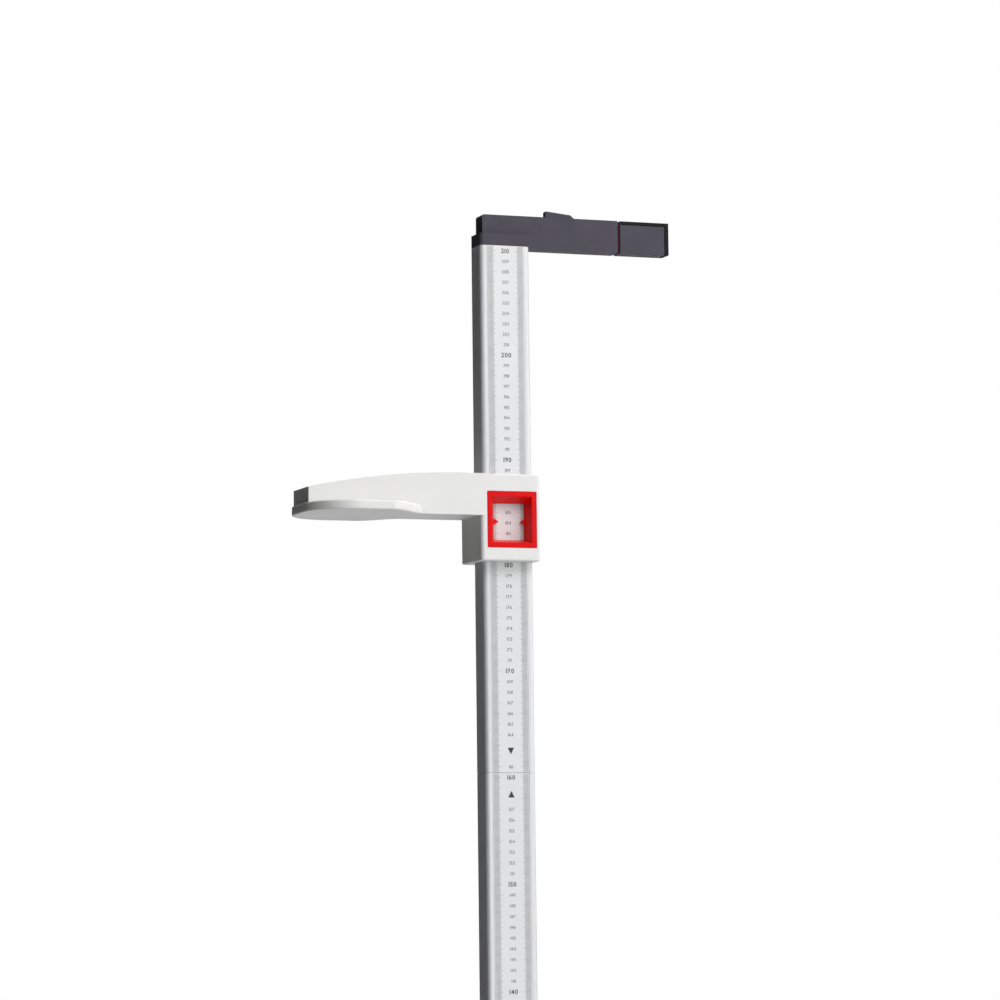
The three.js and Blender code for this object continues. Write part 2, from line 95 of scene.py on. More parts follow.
class Look:
    """A Principled material whose colour, roughness and bump vary with the object's own coordinates."""

    def __init__(self, name, colour, roughness, metallic=0.0, **sockets):
        self.slot = name
        self.material = bpy.data.materials.new(name)
        self.material.use_nodes = True
        self.material.diffuse_color = (*colour, 1.0)
        self.nodes = self.material.node_tree.nodes
        self.links = self.material.node_tree.links
        self.shader = self.nodes["Principled BSDF"]
        self.shader.inputs["Base Color"].default_value = (*colour, 1.0)
        self.shader.inputs["Roughness"].default_value = roughness
        self.shader.inputs["Metallic"].default_value = metallic
        for socket, value in sockets.items():
            self.shader.inputs[socket.replace("_", " ")].default_value = value
        self.colour = colour
        self.roughness = roughness
        self.coordinates = self.nodes.new("ShaderNodeTexCoord")
        self.height = None

    def noise(self, grain, stretch=(1.0, 1.0, 1.0), detail=3.0):
        """A noise from 0 to 1 whose grain size is in metres, drawn out along the axes by stretch."""
        mapping = self.nodes.new("ShaderNodeMapping")
        mapping.inputs["Scale"].default_value = [1.0 / s for s in stretch]
        texture = self.nodes.new("ShaderNodeTexNoise")
        texture.inputs["Scale"].default_value = 1.0 / grain
        texture.inputs["Detail"].default_value = detail
        self.links.new(self.coordinates.outputs["Object"], mapping.inputs["Vector"])
        self.links.new(mapping.outputs["Vector"], texture.inputs["Vector"])
        return texture.outputs["Fac"]

    def spread(self, value, low, high):
        """Maps a noise's middle range on to low..high."""
        remap = self.nodes.new("ShaderNodeMapRange")
        remap.inputs["From Min"].default_value, remap.inputs["From Max"].default_value = NOISE_MIDDLE
        remap.inputs["To Min"].default_value = low
        remap.inputs["To Max"].default_value = high
        self.links.new(value, remap.inputs["Value"])
        return remap.outputs["Result"]

    def vary_colour(self, value, amount):
        """Makes the colour lighter and darker by amount, a fraction of itself."""
        mix = self.nodes.new("ShaderNodeMix")
        mix.data_type = "RGBA"
        dark = [c * (1.0 - amount) for c in self.colour]
        light = [min(1.0, c * (1.0 + amount)) for c in self.colour]
        mix.inputs["A"].default_value = (*dark, 1.0)
        mix.inputs["B"].default_value = (*light, 1.0)
        self.links.new(self.spread(value, 0.0, 1.0), mix.inputs["Factor"])
        self.links.new(mix.outputs["Result"], self.shader.inputs["Base Color"])
        return self

    def vary_roughness(self, value, amount):
        result = self.spread(value, self.roughness - amount, self.roughness + amount)
        self.links.new(result, self.shader.inputs["Roughness"])
        return self

    def bump(self, value, depth, strength=0.5):
        """Adds a bump of the given depth in metres, on top of any earlier one."""
        node = self.nodes.new("ShaderNodeBump")
        node.inputs["Distance"].default_value = depth
        node.inputs["Strength"].default_value = strength
        self.links.new(value, node.inputs["Height"])
        if self.height is not None:
            self.links.new(self.height, node.inputs["Normal"])
        self.links.new(node.outputs["Normal"], self.shader.inputs["Normal"])
        self.height = node.outputs["Normal"]
        return self


def aluminium_look():
    """Drawn and anodised: fine streaks run along the column."""
    metal = Look("anodised_aluminium", (0.71, 0.715, 0.725), 0.46, 0.25, Anisotropic=0.5)
    drawn = metal.noise(0.0006, (1.0, 1.0, 260.0), 4.0)
    metal.vary_colour(drawn, 0.035).vary_roughness(metal.noise(0.0009, (1.0, 1.0, 180.0)), 0.06)
    return metal.bump(drawn, 0.00002, 0.35)


def strip_look():
    strip = Look("scale_strip_white", (0.745, 0.745, 0.75), 0.5, Specular_IOR_Level=0.4)
    return strip.vary_colour(strip.noise(0.03), 0.012).bump(strip.noise(0.0003), 0.00001, 0.3)


def white_look():
    """Moulded plastic with a faint sparkle of texture."""
    white = Look("white_plastic", (0.765, 0.76, 0.748), 0.42)
    white.vary_colour(white.noise(0.05), 0.012).vary_roughness(white.noise(0.012), 0.05)
    return white.bump(white.noise(0.0004, detail=2.0), 0.00003, 0.4)


def platform_look():
    """Coarse-grained moulded plastic."""
    grey = Look("platform_grey_plastic", (0.62, 0.63, 0.645), 0.58)
    grey.vary_colour(grey.noise(0.08), 0.03).vary_roughness(grey.noise(0.02), 0.06)
    return grey.bump(grey.noise(0.0011, detail=2.0), 0.00022, 0.6)


def dark_look():
    dark = Look("dark_grey_plastic", (0.071, 0.066, 0.084), 0.55, Specular_IOR_Level=0.12)
    dark.vary_colour(dark.noise(0.02), 0.06).vary_roughness(dark.noise(0.006), 0.05)
    return dark.bump(dark.noise(0.0006, detail=2.0), 0.00005, 0.5)


def red_look():
    red = Look("red_plastic", (0.73, 0.005, 0.007), 0.34, Specular_IOR_Level=0.12)
    return red.vary_colour(red.noise(0.01), 0.03).bump(red.noise(0.0008), 0.00001, 0.3)


# Red darkened almost to black: the red hue is the part's own, the darkness is painted shade of the narrow
# seam gap in the spacer where it sits.
def wine_look():
    painted_shade_red = Look("dark_red_plastic", (0.050, 0.009, 0.015), 0.6, Specular_IOR_Level=0.1)
    return painted_shade_red.vary_colour(painted_shade_red.noise(0.004), 0.08).bump(painted_shade_red.noise(0.0006), 0.00002, 0.3)


def rubber_look():
    rubber = Look("black_rubber", (0.012, 0.012, 0.013), 0.75, Specular_IOR_Level=0.15)
    return rubber.vary_colour(rubber.noise(0.004), 0.15).bump(rubber.noise(0.0008), 0.00008, 0.6)


def steel_look():
    steel = Look("zinc_steel", (0.62, 0.63, 0.65), 0.3, 1.0)
    return steel.vary_colour(steel.noise(0.002), 0.05).vary_roughness(steel.noise(0.001), 0.08)


def glide_look():
    glide = Look("glide_plastic", (0.80, 0.78, 0.70), 0.5)
    return glide.vary_colour(glide.noise(0.01), 0.02)


def ink_look():
    ink = Look("printing_ink", (0.028, 0.028, 0.032), 0.55)
    return ink.vary_colour(ink.noise(0.002), 0.1)


def make_materials():
    """One material for each slot of the record."""
    looks = (aluminium_look(), strip_look(), white_look(), platform_look(), dark_look(), red_look(),
             wine_look(), rubber_look(), steel_look(), glide_look(), ink_look())
    return {look.slot: look.material for look in looks}


# ---- mesh helpers ----
def new_object(name, mesh):
    piece = bpy.data.objects.new(name, mesh)
    SCENE.collection.objects.link(piece)
    return piece


def finish_piece(piece, body, slot, *nodes):
    """Gives a piece its material, body and slot, and hides the CAD nodes that it stands for."""
    piece.data.materials.clear()
    piece.data.materials.append(MATERIALS[slot])
    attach(piece, body)
    if nodes:
        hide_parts(*nodes)
    return piece


def prism(name, outline, low, high, axis):
    """A closed prism along an axis. Its anticlockwise outline is in the next two axes, in cyclic order."""
    order = {"X": (1, 2, 0), "Y": (2, 0, 1), "Z": (0, 1, 2)}[axis]

    def place(a, b, along):
        point = [0.0, 0.0, 0.0]
        point[order[0]], point[order[1]], point[order[2]] = a, b, along
        return point

    count = len(outline)
    vertices = [place(a, b, low) for a, b in outline] + [place(a, b, high) for a, b in outline]
    faces = [list(range(count))[::-1], list(range(count, 2 * count))]
    faces += [[i, (i + 1) % count, count + (i + 1) % count, count + i] for i in range(count)]
    mesh = bpy.data.meshes.new(name)
    mesh.from_pydata(vertices, [], faces)
    return new_object(name, mesh)


def closed_mesh(name, vertices, faces):
    """A closed mesh whose faces are turned to look outwards."""
    mesh = bpy.data.meshes.new(name)
    mesh.from_pydata(vertices, [], faces)
    work = bmesh.new()
    work.from_mesh(mesh)
    bmesh.ops.recalc_face_normals(work, faces=work.faces)
    work.to_mesh(mesh)
    work.free()
    return new_object(name, mesh)


def block(name, low, high):
    outline = [(low[0], low[1]), (high[0], low[1]), (high[0], high[1]), (low[0], high[1])]
    return prism(name, outline, low[2], high[2], "Z")


def arc(centre, radius, start, stop, steps):
    """Points on an arc, from start to stop in degrees."""
    angles = [math.radians(start + (stop - start) * i / steps) for i in range(steps + 1)]
    return [(centre[0] + radius * math.cos(a), centre[1] + radius * math.sin(a)) for a in angles]


def bend(start, pull, stop, steps):
    """Points on a quadratic curve, both ends included."""
    points = []
    for i in range(steps + 1):
        t = i / steps
        weights = ((1 - t) ** 2, 2 * t * (1 - t), t ** 2)
        points.append(tuple(sum(w * p[k] for w, p in zip(weights, (start, pull, stop))) for k in (0, 1)))
    return points


def rounded_rectangle(low, high, radius, steps=6):
    return (arc((high[0] - radius, low[1] + radius), radius, -90, 0, steps)
            + arc((high[0] - radius, high[1] - radius), radius, 0, 90, steps)
            + arc((low[0] + radius, high[1] - radius), radius, 90, 180, steps)
            + arc((low[0] + radius, low[1] + radius), radius, 180, 270, steps))


def add_bevel(piece, width, segments=3, angle=32):
    modifier = piece.modifiers.new("bevel", "BEVEL")
    modifier.width = width
    modifier.segments = segments
    modifier.limit_method = "ANGLE"
    modifier.angle_limit = math.radians(angle)
    modifier.miter_outer = "MITER_ARC"


def settle(piece):
    """Applies the piece's modifiers to its mesh."""
    evaluated = piece.evaluated_get(bpy.context.evaluated_depsgraph_get())
    mesh = bpy.data.meshes.new_from_object(evaluated)
    piece.modifiers.clear()
    piece.data = mesh
    return piece


def combine(piece, operation, *tools):
    """Joins the tools to a piece, cuts them out of it or keeps what they share, then deletes the tools."""
    for tool in tools:
        modifier = piece.modifiers.new("combine", "BOOLEAN")
        modifier.operation = operation
        modifier.solver = "EXACT"
        modifier.object = tool
        settle(piece)
        bpy.data.objects.remove(tool)
    return piece


def shade(piece, angle=30):
    """Smooth shading with sharp edges above the angle, and flat faces that stay flat."""
    mesh = piece.data
    mesh.polygons.foreach_set("use_smooth", [True] * len(mesh.polygons))
    mesh.set_sharp_from_angle(angle=math.radians(angle))
    normals = piece.modifiers.new("normals", "WEIGHTED_NORMAL")
    normals.keep_sharp = True
    normals.weight = 80
    return piece


def refine_node(name, width, segments=3):
    """Rounds a CAD node's edges with modifiers; its own mesh isn't touched."""
    node = frame["nodes"][name]
    node.data.polygons.foreach_set("use_smooth", [True] * len(node.data.polygons))
    weld = node.modifiers.new("weld", "WELD")
    weld.merge_threshold = 0.01 * MM
    if width > 0:
        add_bevel(node, width, segments, 40)
    normals = node.modifiers.new("normals", "WEIGHTED_NORMAL")
    normals.weight = 80


# ---- head piece: the sleeve, arm and head plate are one smooth white moulding outside ----
ARM_TIP_HALF_WIDTH = 23.3 * MM
ARM_TIP_TOP = 16.0 * MM         # beam's top at its tip, below the housing's top
ARM_STRAIGHT = 63.0 * MM        # the beam keeps its width for this far in front of the housing
ARM_CURVE_START = 18.0 * MM     # the top edge starts to fall this far in front of the housing
ARM_ROOT = 12.0 * MM            # the beam reaches this far into the housing
ARM_ROUNDING = 1.6 * MM
PLATE_CORNER = 45.0 * MM
PLATE_SHOULDER = 73.0 * MM      # the plate is at its full width until this far from its front
PLATE_ROUNDING = 1.8 * MM
NECK_INSET = 0.3 * MM           # the plate's neck stays this far inside the beam's sides
HOUSING_CORNER = 3.5 * MM
HOUSING_ROUNDING = 1.6 * MM
HOUSING_WALL = 2.5 * MM
HOUSING_BACK = 1.8 * MM
HOUSING_LIP = 3.0 * MM
BORE_ROOM = 0.6 * MM            # between the column and the sleeve's ends
BORE_CORNER = 4.0 * MM
OPENING_GAP = 0.3 * MM          # round the rear cover and the window frame
WINDOW_CORNER = 1.5 * MM
OVERCUT = 1.0 * MM              # cutting shapes stand out of the walls that they cut


def beam_outlines(beam_low, beam_high, root):
    """The beam's outline from the side (Y, Z), and from above (X, Y)."""
    tip = beam_low.y
    top = beam_high.z
    bottom = beam_low.z
    start = beam_high.y - ARM_CURVE_START
    tip_top = top - ARM_TIP_TOP
    curve = bend((start, top), ((start + tip) / 2, top), (tip, tip_top), 28)
    side = [(tip, bottom), (root, bottom), (root, top)] + curve
    wide = beam_high.x
    taper = beam_high.y - ARM_STRAIGHT
    plan = [(-ARM_TIP_HALF_WIDTH, tip), (ARM_TIP_HALF_WIDTH, tip), (wide, taper), (wide, root),
            (-wide, root), (-wide, taper)]
    return side, plan


def plate_outline(low, high, neck):
    """The head plate from above: round front corners, and shoulders that run in to the beam's width."""
    front = low.y
    back = high.y
    wide = high.x
    shoulder = front + PLATE_SHOULDER
    middle = (shoulder + back) / 2
    between = (wide + neck) / 2
    right = arc((wide - PLATE_CORNER, front + PLATE_CORNER), PLATE_CORNER, -90, 0, 18)
    right += bend((wide, shoulder), (wide, (shoulder + middle) / 2), (between, middle), 7)
    right += bend((between, middle), (neck, (middle + back) / 2), (neck, back), 7)[1:]
    left = [(-x, y) for x, y in reversed(right)]
    return right + left


def make_beam(beam_low, beam_high, housing_low, housing_high):
    """The arm's rib: its side outline, trimmed to its outline from above."""
    side, plan = beam_outlines(beam_low, beam_high, housing_low.y + ARM_ROOT)
    beam = prism("beam", side, -housing_high.x, housing_high.x, "X")
    combine(beam, "INTERSECT", prism("plan", plan, housing_low.z, housing_high.z + OVERCUT, "Z"))
    add_bevel(beam, ARM_ROUNDING, 4, 32)
    return settle(beam)


def make_plate(low, high, neck):
    plate = prism("plate", plate_outline(low, high, neck), low.z, high.z, "Z")
    add_bevel(plate, PLATE_ROUNDING, 4, 50)
    return settle(plate)


def housing_hollows(low, high):
    """Shapes to cut out of the housing: its inside, the column's bore, and the rear and window openings."""
    column_low, column_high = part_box("column_section_4")
    cover_low, cover_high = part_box("slide_rear_cover")
    window_low, window_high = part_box("window_frame")
    inside = block("inside", (-high.x + HOUSING_WALL, low.y + HOUSING_WALL, low.z + HOUSING_LIP),
                   (high.x - HOUSING_WALL, high.y - HOUSING_BACK, high.z - HOUSING_LIP))
    column = rounded_rectangle((column_low.x - BORE_ROOM, column_low.y - BORE_ROOM),
                               (column_high.x + BORE_ROOM, column_high.y + BORE_ROOM), BORE_CORNER)
    bore = prism("bore", column, low.z - OVERCUT, high.z + OVERCUT, "Z")
    rear = block("rear", (cover_low.x - OPENING_GAP, cover_low.y - 3 * MM, cover_low.z - OPENING_GAP),
                 (cover_high.x + OPENING_GAP, cover_high.y + OVERCUT, cover_high.z + OPENING_GAP))
    frame_outline = rounded_rectangle((window_low.y - OPENING_GAP, window_low.z - OPENING_GAP),
                                      (window_high.y + OPENING_GAP, window_high.z + OPENING_GAP),
                                      WINDOW_CORNER)
    window = prism("window", frame_outline, high.x - HOUSING_WALL - OVERCUT, high.x + 2 * OVERCUT, "X")
    return inside, bore, rear, window


def make_head_piece():
    low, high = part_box("slide_housing")
    beam_low, beam_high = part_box("arm_beam")
    plate_low, plate_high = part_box("head_plate")

    outline = rounded_rectangle(low.xy, high.xy, HOUSING_CORNER, 5)
    housing = prism("head_moulding", outline, low.z, high.z, "Z")
    add_bevel(housing, HOUSING_ROUNDING, 4, 50)
    settle(housing)

    beam_low.z = plate_low.z
    beam = make_beam(beam_low, beam_high, low, high)
    combine(housing, "UNION", beam, make_plate(plate_low, plate_high, high.x - NECK_INSET))
    combine(housing, "DIFFERENCE", *housing_hollows(low, high))
    shade(housing, 40)
    finish_piece(housing, "head_slide", "white_plastic", "slide_housing", "arm_beam", "head_plate")


# ---- printed scale ----
SCALE_ZERO = 10.1 * MM          # height of the reading 0 on this frame's Z axis
LOWEST_LABEL = 13
TICK_WIDTH = 0.30 * MM
TICK_LENGTHS = {10: 7.0 * MM, 5: 6.2 * MM, 1: 5.2 * MM}
TICK_EDGE = 17.4 * MM           # outer end of the ticks, from the strip's middle
PRINT_DEPTH = 0.04 * MM
SMALL_DIGITS = 3.1 * MM
TENS_DIGITS = 4.4 * MM
BOLD = 0.022                    # the tens' strokes are this much thicker, for digits 1 unit tall
DIGIT_GAP = 0.16                # between digits 1 unit tall
LABEL_MARGIN = 3.0 * MM         # a number keeps this far from its strip's ends
ARROW_OFFSET = 20.2 * MM        # arrows point at each section joint from this far away
ARROW_SIZE = 6.4 * MM
ARROW_MARGIN = 8.0 * MM         # a number this near to an arrow is left out
INK_SINK = 0.005 * MM           # the ink starts this far inside the strip


def glyph(character, weight):
    """A digit's closed mesh, 1 unit tall, as (vertices, faces, width)."""
    curve = bpy.data.curves.new("glyph", "FONT")
    curve.body = character
    curve.resolution_u = 3
    curve.offset = weight
    curve.extrude = 0.5
    holder = new_object("glyph", curve)
    bpy.context.view_layer.update()
    mesh = bpy.data.meshes.new_from_object(holder.evaluated_get(bpy.context.evaluated_depsgraph_get()))
    bpy.data.objects.remove(holder)
    work = bmesh.new()
    work.from_mesh(mesh)
    bmesh.ops.remove_doubles(work, verts=work.verts, dist=1e-5)
    points = [tuple(v.co) for v in work.verts]
    faces = [[v.index for v in f.verts] for f in work.faces]
    work.free()
    left = min(p[0] for p in points)
    bottom = min(p[1] for p in points)
    size = max(p[1] for p in points) - bottom
    points = [((p[0] - left) / size, (p[1] - bottom) / size, p[2]) for p in points]
    return points, faces, max(p[0] for p in points)


class Print:
    """Ink on the scale's face: flat closed shapes gathered into one mesh."""

    def __init__(self, face_x, middle_y, light, bold):
        self.face_x = face_x
        self.middle_y = middle_y
        self.light = light
        self.bold = bold
        self.vertices = []
        self.faces = []

    def shape(self, points, faces):
        first = len(self.vertices)
        self.vertices += [(self.face_x + x, self.middle_y + y, z) for x, y, z in points]
        self.faces += [[first + i for i in face] for face in faces]

    def polygon(self, outline):
        """A flat shape with an anticlockwise outline of (y, z)."""
        count = len(outline)
        points = [(0.0, y, z) for y, z in outline] + [(PRINT_DEPTH, y, z) for y, z in outline]
        faces = [list(range(count))[::-1], list(range(count, 2 * count))]
        faces += [[i, (i + 1) % count, count + (i + 1) % count, count + i] for i in range(count)]
        self.shape(points, faces)

    def tick(self, y0, y1, z):
        left, right = sorted((y0, y1))
        low = z - TICK_WIDTH / 2
        high = z + TICK_WIDTH / 2
        self.polygon([(left, low), (right, low), (right, high), (left, high)])

    def arrow(self, z, side):
        """A triangle whose point looks down when side is 1, and up when it is -1."""
        half = ARROW_SIZE / 2
        outline = [(-half, z + side * half), (0.0, z - side * half), (half, z + side * half)]
        self.polygon(outline if side > 0 else outline[::-1])

    def number(self, value, glyphs, z, height):
        digits = [glyphs[c] for c in str(value)]
        width = sum(d[2] for d in digits) + DIGIT_GAP * (len(digits) - 1)
        cursor = -width / 2
        for points, faces, advance in digits:
            moved = [((p[2] + 0.5) * PRINT_DEPTH, (cursor + p[0]) * height, z + (p[1] - 0.5) * height)
                     for p in points]
            self.shape(moved, faces)
            cursor += advance + DIGIT_GAP

    def piece(self, name):
        mesh = bpy.data.meshes.new(name)
        mesh.from_pydata(self.vertices, [], self.faces)
        return finish_piece(new_object(name, mesh), "stand", "printing_ink")


def print_graduation(ink, millimetre, numbers):
    """The ticks of one millimetre on both of the strip's edges, and every centimetre its number."""
    z = SCALE_ZERO + millimetre * MM
    step = 10 if millimetre % 10 == 0 else 5 if millimetre % 5 == 0 else 1
    for side in (-1, 1):
        ink.tick(side * TICK_EDGE, side * (TICK_EDGE - TICK_LENGTHS[step]), z)
    if step == 10 and numbers:
        tens = millimetre % 100 == 0
        ink.number(millimetre // 10, ink.bold if tens else ink.light, z,
                   TENS_DIGITS if tens else SMALL_DIGITS)


def make_scale_print():
    """The ink on each of the four strips, with a pair of arrows at each joint between them."""
    light = {c: glyph(c, 0.0) for c in "0123456789"}
    bold = {c: glyph(c, BOLD) for c in "0123456789"}
    sections = [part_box(f"scale_strip_{i}") for i in range(1, 5)]
    arrows = [(low.z + side * ARROW_OFFSET, side) for low, high in sections[1:] for side in (-1, 1)]
    for index, (low, high) in enumerate(sections, start=1):
        ink = Print(high.x - INK_SINK, (low.y + high.y) / 2, light, bold)
        first = math.ceil((low.z + TICK_WIDTH - SCALE_ZERO) / MM)
        last = math.floor((high.z - TICK_WIDTH - SCALE_ZERO) / MM)
        for millimetre in range(first, last + 1):
            z = SCALE_ZERO + millimetre * MM
            clear = all(abs(z - arrow) > ARROW_MARGIN for arrow, side in arrows)
            inside = low.z + LABEL_MARGIN < z < high.z - LABEL_MARGIN
            print_graduation(ink, millimetre, millimetre >= 10 * LOWEST_LABEL and clear and inside)
        for z, side in arrows:
            if low.z < z < high.z:
                ink.arrow(z, side)
        ink.piece(f"scale_print_{index}")


# ---- platform marks ----
SOLE_LENGTH = 266 * MM
SOLE_X = 58 * MM                # middle of each sole
SOLE_Y = -96 * MM
SOLE_TOE_OUT = 5 * MM
SOLE_HALF_WIDTHS = (33 * MM, 30 * MM, 44 * MM)     # at the heel, waist and ball of the foot
SOLE_ROUNDNESS = 0.8            # 1.0 makes the ends elliptical, less makes them blunter
SOLE_LINE = 3 * MM
SOLE_STEPS = 96
TREAD_PITCH = 9 * MM
TREAD_WIDTH = 3.6 * MM
TREAD_HEIGHT = 0.8 * MM
TREAD_MARGIN = 11 * MM
TREAD_ROOT = 0.2 * MM           # the ribs and outlines reach this far into the surface
LINE_HEIGHT = 0.3 * MM
SHORTEST_TREAD = 6 * MM         # half the length


def ease(t):
    """Goes smoothly from 0 to 1, and stays there."""
    t = min(1.0, t)
    return t * t * (3 - 2 * t)


def sole_half_width(along):
    """Half the sole's width; along runs from -1 at the heel to 1 at the toes."""
    heel, waist, ball = SOLE_HALF_WIDTHS
    if along < -0.1:
        return waist + (heel - waist) * ease((-0.1 - along) / 0.6)
    return waist + (ball - waist) * ease((along + 0.1) / 0.6)


def sole_middle(along, side):
    """X of the sole's middle line, whose toes turn a little outwards."""
    return side * (SOLE_X + SOLE_TOE_OUT * along)


def sole_outline(side, grow):
    """A generic shoe sole, toes towards -Y, as points (x, y) round its edge."""
    points = []
    for i in range(SOLE_STEPS):
        angle = 2 * math.pi * i / SOLE_STEPS
        along = math.sin(angle)
        across = math.copysign(abs(math.cos(angle)) ** SOLE_ROUNDNESS, math.cos(angle))
        x = sole_middle(along, side) + (sole_half_width(along) + grow) * across
        points.append((x, SOLE_Y - (SOLE_LENGTH / 2 + grow) * along))
    return points


def make_foot_mark(name, side, surface):
    """A thin raised line round one sole."""
    outer = sole_outline(side, 0.0)
    inner = sole_outline(side, -SOLE_LINE)
    count = len(outer)
    heights = (surface - TREAD_ROOT, surface + LINE_HEIGHT)
    vertices = [(x, y, z) for z in heights for ring in (outer, inner) for x, y in ring]
    faces = []
    for i in range(count):
        j = (i + 1) % count
        faces += [[i, count + i, count + j, j],
                  [2 * count + i, 2 * count + j, 3 * count + j, 3 * count + i],
                  [i, j, 2 * count + j, 2 * count + i],
                  [count + i, 3 * count + i, 3 * count + j, count + j]]
    finish_piece(closed_mesh(name, vertices, faces), "stand", "dark_grey_plastic")


def tread_section():
    """A rib's rounded outline (y, z) over the surface, with its flat side inside it."""
    rise = (TREAD_HEIGHT + TREAD_ROOT) / (TREAD_WIDTH / 2)
    return [(y, z * rise - TREAD_ROOT) for y, z in arc((0.0, 0.0), TREAD_WIDTH / 2, 0, 180, 8)]


def make_tread(name, side, surface):
    """Low rounded non-slip ribs across one sole."""
    half = SOLE_LENGTH / 2 - TREAD_MARGIN
    count = int(2 * half / TREAD_PITCH)
    section = tread_section()
    rim = len(section)
    vertices = []
    faces = []
    for i in range(count + 1):
        offset = 2 * half * i / count - half
        along = offset / (SOLE_LENGTH / 2)
        edge = sole_half_width(along) * (1 - along ** 2) ** (SOLE_ROUNDNESS / 2)
        reach = edge - 0.75 * TREAD_MARGIN
        if reach < SHORTEST_TREAD:
            continue
        middle = sole_middle(along, side)
        first = len(vertices)
        for x in (middle - reach, middle + reach):
            vertices += [(x, SOLE_Y - offset + y, surface + z) for y, z in section]
        faces.append([first + k for k in range(rim)])
        faces.append([first + rim + k for k in range(rim)])
        faces += [[first + k, first + rim + k, first + rim + (k + 1) % rim, first + (k + 1) % rim]
                  for k in range(rim)]
    finish_piece(shade(closed_mesh(name, vertices, faces), 40), "stand", "platform_grey_plastic")


def make_platform_marks():
    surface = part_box("platform_top")[1].z
    for name, side in (("left", -1), ("right", 1)):
        make_foot_mark(f"foot_mark_{name}", side, surface)
        make_tread(f"foot_tread_{name}", side, surface)


# ---- CAD nodes that keep their own shape ----
EDGE_ROUNDING = {                       # mm, by the start of the node's name
    "column_section": 0.35, "scale_strip": 0.12, "slide_rear_cover": 0.5, "window_frame": 0.45,
    "spacer_housing": 0.9, "spacer_end_piece": 0.7, "wall_bumper": 0.5, "spacer_stop_ring": 0.2,
    "latch_button": 0.7, "column_socket": 1.8, "platform_top": 2.4, "platform_bottom_plate": 0.4,
    "platform_ribs": 0.0, "foot_pad": 0.6, "joint_plug": 0.3, "glide_pad": 0.6, "brake_pad": 0.5,
    "brake_spring": 0.0, "socket_screw": 0.6, "platform_screw": 0.3, "cover_screw": 0.3, "arm_screw": 0.4,
}


def dress_nodes():
    """Every CAD node gets its slot's material, smooth shading and its family's edge rounding."""
    slots = {entry["node"]: entry["material_slot"] for entry in frame["record"]["subparts"]}
    for name, node in frame["nodes"].items():
        node.data.materials.clear()
        node.data.materials.append(MATERIALS[slots[name]])
        for family, rounding in EDGE_ROUNDING.items():
            if name.startswith(family):
                refine_node(name, rounding * MM)


# ---- latch spring ----
def make_latch_spring():
    """A smooth-shaded copy of the latch spring's coil stands in for its CAD node."""
    node = frame["nodes"]["latch_spring"]
    coil = new_object("latch_coil", node.data.copy())
    coil.matrix_world = node.matrix_world
    shade(coil, 40)
    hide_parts("latch_spring")
    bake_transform(coil)


# ---- stage and light ----
FLOOR_RADIUS = 12.0
FLOOR_SIDES = 96
FLOOR_SEEN = 0.42               # the floor's own lightness to the camera
FLOOR_GLOW = 0.52               # and the even light that it gives to the camera alone
FLOOR_LIT = 0.86                # lightness to other rays, where it bounces light
FLOOR_DARK = 0.02               # and where it doesn't
FLOOR_FADE = (2.5, 8.0)         # to the camera it goes from pale grey to white between these radii
FLOOR_BOUNCE = (-2.2, -0.9)     # it bounces no light before the first Y, and all of it past the second
WORLD_SIDE = (-0.6, 0.35)       # the world's light grows between these slopes towards +Y
WORLD_STRENGTH = (0.03, 0.30)
WORLD_TINT = (0.95, 0.97, 1.0)
LIGHTS = {                      # place, target, size and power in watts
    "key": ((3.0, 0.75, 4.3), (0.0, 0.1, 1.6), 1.8, 72),
    "side": ((3.0, 3.4, 2.4), (0.0, 0.1, 1.6), 2.4, 55),
    "front": ((4.2, 0.3, 1.0), (0.0, 0.1, 1.2), 1.2, 24),
    "top": ((0.4, 1.2, 4.6), (0.0, 0.3, 0.0), 3.0, 60),
    "back": ((-3.6, 2.0, 2.6), (0.0, 0.1, 1.3), 2.4, 40),
}


class FloorNodes:
    """The few kinds of node that the floor's material is made of."""

    def __init__(self, tree):
        self.nodes = tree.nodes
        self.links = tree.links
        self.nodes.clear()

    def matt(self, lightness):
        node = self.nodes.new("ShaderNodeBsdfDiffuse")
        node.inputs["Color"].default_value = (lightness, lightness, lightness, 1.0)
        return node.outputs["BSDF"]

    def glow(self, strength):
        node = self.nodes.new("ShaderNodeEmission")
        node.inputs["Strength"].default_value = strength
        return node.outputs["Emission"]

    def add(self, first, second):
        node = self.nodes.new("ShaderNodeAddShader")
        self.links.new(first, node.inputs[0])
        self.links.new(second, node.inputs[1])
        return node.outputs["Shader"]

    def mix(self, factor, first, second):
        node = self.nodes.new("ShaderNodeMixShader")
        self.links.new(factor, node.inputs["Fac"])
        self.links.new(first, node.inputs[1])
        self.links.new(second, node.inputs[2])
        return node.outputs["Shader"]

    def ramp(self, value, limits):
        node = self.nodes.new("ShaderNodeMapRange")
        node.interpolation_type = "SMOOTHSTEP"
        node.inputs["From Min"].default_value, node.inputs["From Max"].default_value = limits
        self.links.new(value, node.inputs["Value"])
        return node.outputs["Result"]


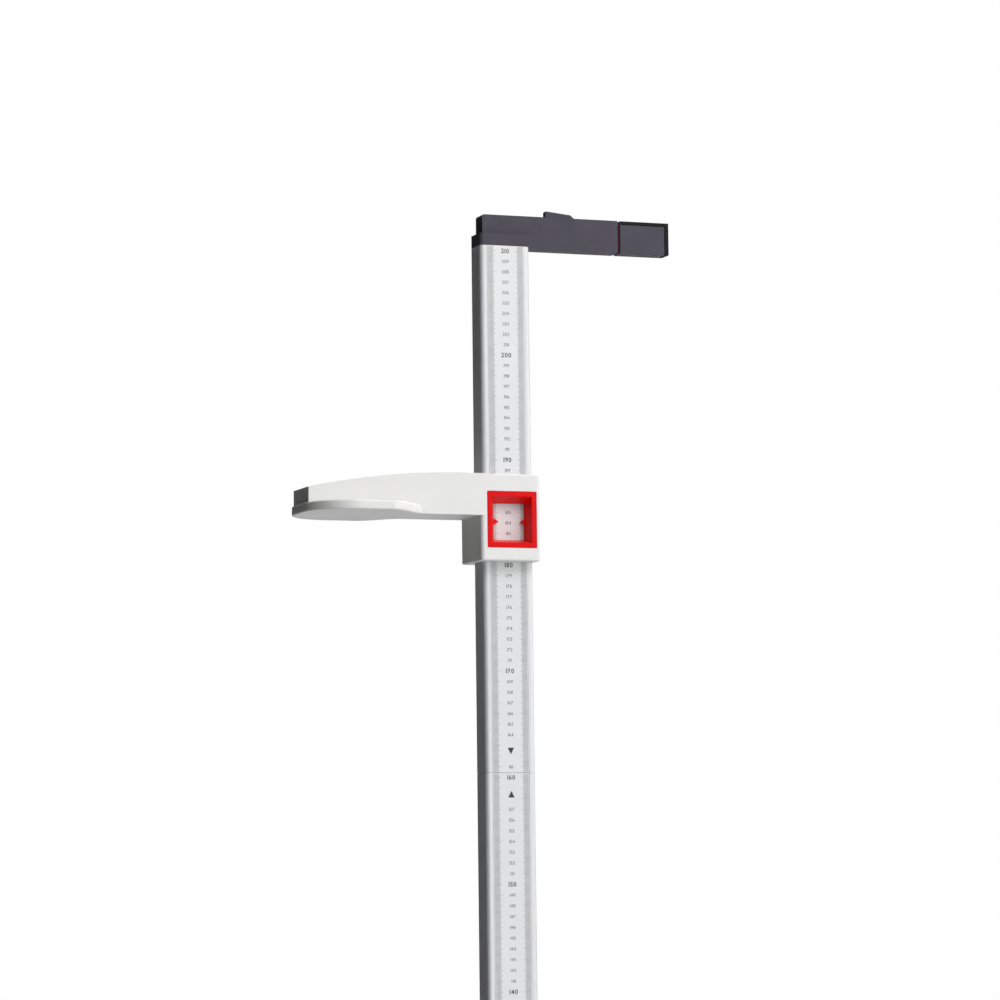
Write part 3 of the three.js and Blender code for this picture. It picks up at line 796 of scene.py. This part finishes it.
def floor_material():
    """A pale matt floor that the camera sees fade out to white, so that no horizon line shows.

    Its bounced light dies away on the side of the person being measured, whose side of the object is dark.
    """
    material = bpy.data.materials.new("floor")
    material.use_nodes = True
    graph = FloorNodes(material.node_tree)
    place = graph.nodes.new("ShaderNodeTexCoord")
    distance = graph.nodes.new("ShaderNodeVectorMath")
    distance.operation = "LENGTH"
    graph.links.new(place.outputs["Object"], distance.inputs[0])
    split = graph.nodes.new("ShaderNodeSeparateXYZ")
    graph.links.new(place.outputs["Object"], split.inputs["Vector"])
    near = graph.add(graph.matt(FLOOR_SEEN), graph.glow(FLOOR_GLOW))
    seen = graph.mix(graph.ramp(distance.outputs["Value"], FLOOR_FADE), near, graph.glow(1.0))
    lit = graph.ramp(split.outputs["Y"], FLOOR_BOUNCE)
    bounce = graph.mix(lit, graph.matt(FLOOR_DARK), graph.matt(FLOOR_LIT))
    rays = graph.nodes.new("ShaderNodeLightPath")
    output = graph.nodes.new("ShaderNodeOutputMaterial")
    whole = graph.mix(rays.outputs["Is Camera Ray"], bounce, seen)
    graph.links.new(whole, output.inputs["Surface"])
    return material


def area_light(name, place, target, size, power):
    data = bpy.data.lights.new(name, "AREA")
    data.shape = "SQUARE"
    data.size = size
    data.energy = power
    light = bpy.data.objects.new(name, data)
    light.location = place
    light.rotation_euler = (Vector(target) - Vector(place)).to_track_quat("-Z", "Y").to_euler()
    light.visible_camera = False
    SCENE.collection.objects.link(light)


def make_world():
    """White behind the object. As a light it is dim, and dark on the side of the person being measured."""
    world = bpy.data.worlds.new("studio")
    world.use_nodes = True
    nodes = world.node_tree.nodes
    links = world.node_tree.links
    nodes.clear()
    direction = nodes.new("ShaderNodeTexCoord")
    split = nodes.new("ShaderNodeSeparateXYZ")
    links.new(direction.outputs["Generated"], split.inputs["Vector"])
    side = nodes.new("ShaderNodeMapRange")
    side.inputs["From Min"].default_value, side.inputs["From Max"].default_value = WORLD_SIDE
    side.inputs["To Min"].default_value, side.inputs["To Max"].default_value = WORLD_STRENGTH
    links.new(split.outputs["Y"], side.inputs["Value"])
    fill = nodes.new("ShaderNodeBackground")
    fill.inputs["Color"].default_value = (*WORLD_TINT, 1.0)
    links.new(side.outputs["Result"], fill.inputs["Strength"])
    white = nodes.new("ShaderNodeBackground")
    white.inputs["Color"].default_value = (1.0, 1.0, 1.0, 1.0)
    rays = nodes.new("ShaderNodeLightPath")
    mix = nodes.new("ShaderNodeMixShader")
    links.new(rays.outputs["Is Camera Ray"], mix.inputs["Fac"])
    links.new(fill.outputs["Background"], mix.inputs[1])
    links.new(white.outputs["Background"], mix.inputs[2])
    output = nodes.new("ShaderNodeOutputWorld")
    links.new(mix.outputs["Shader"], output.inputs["Surface"])
    SCENE.world = world


def make_floor():
    angles = [2 * math.pi * i / FLOOR_SIDES for i in range(FLOOR_SIDES)]
    ring = [(FLOOR_RADIUS * math.cos(a), FLOOR_RADIUS * math.sin(a), 0.0) for a in angles]
    mesh = bpy.data.meshes.new("floor")
    mesh.from_pydata(ring, [], [list(range(FLOOR_SIDES))])
    floor = new_object("floor", mesh)
    floor.data.materials.append(floor_material())


def make_stage():
    make_floor()
    for name, (place, target, size, power) in LIGHTS.items():
        area_light(name, place, target, size, power)
    make_world()
    SCENE.view_settings.view_transform = "Standard"


make_camera()
MATERIALS = make_materials()
dress_nodes()
make_head_piece()
make_scale_print()
make_platform_marks()
make_latch_spring()
make_stage()
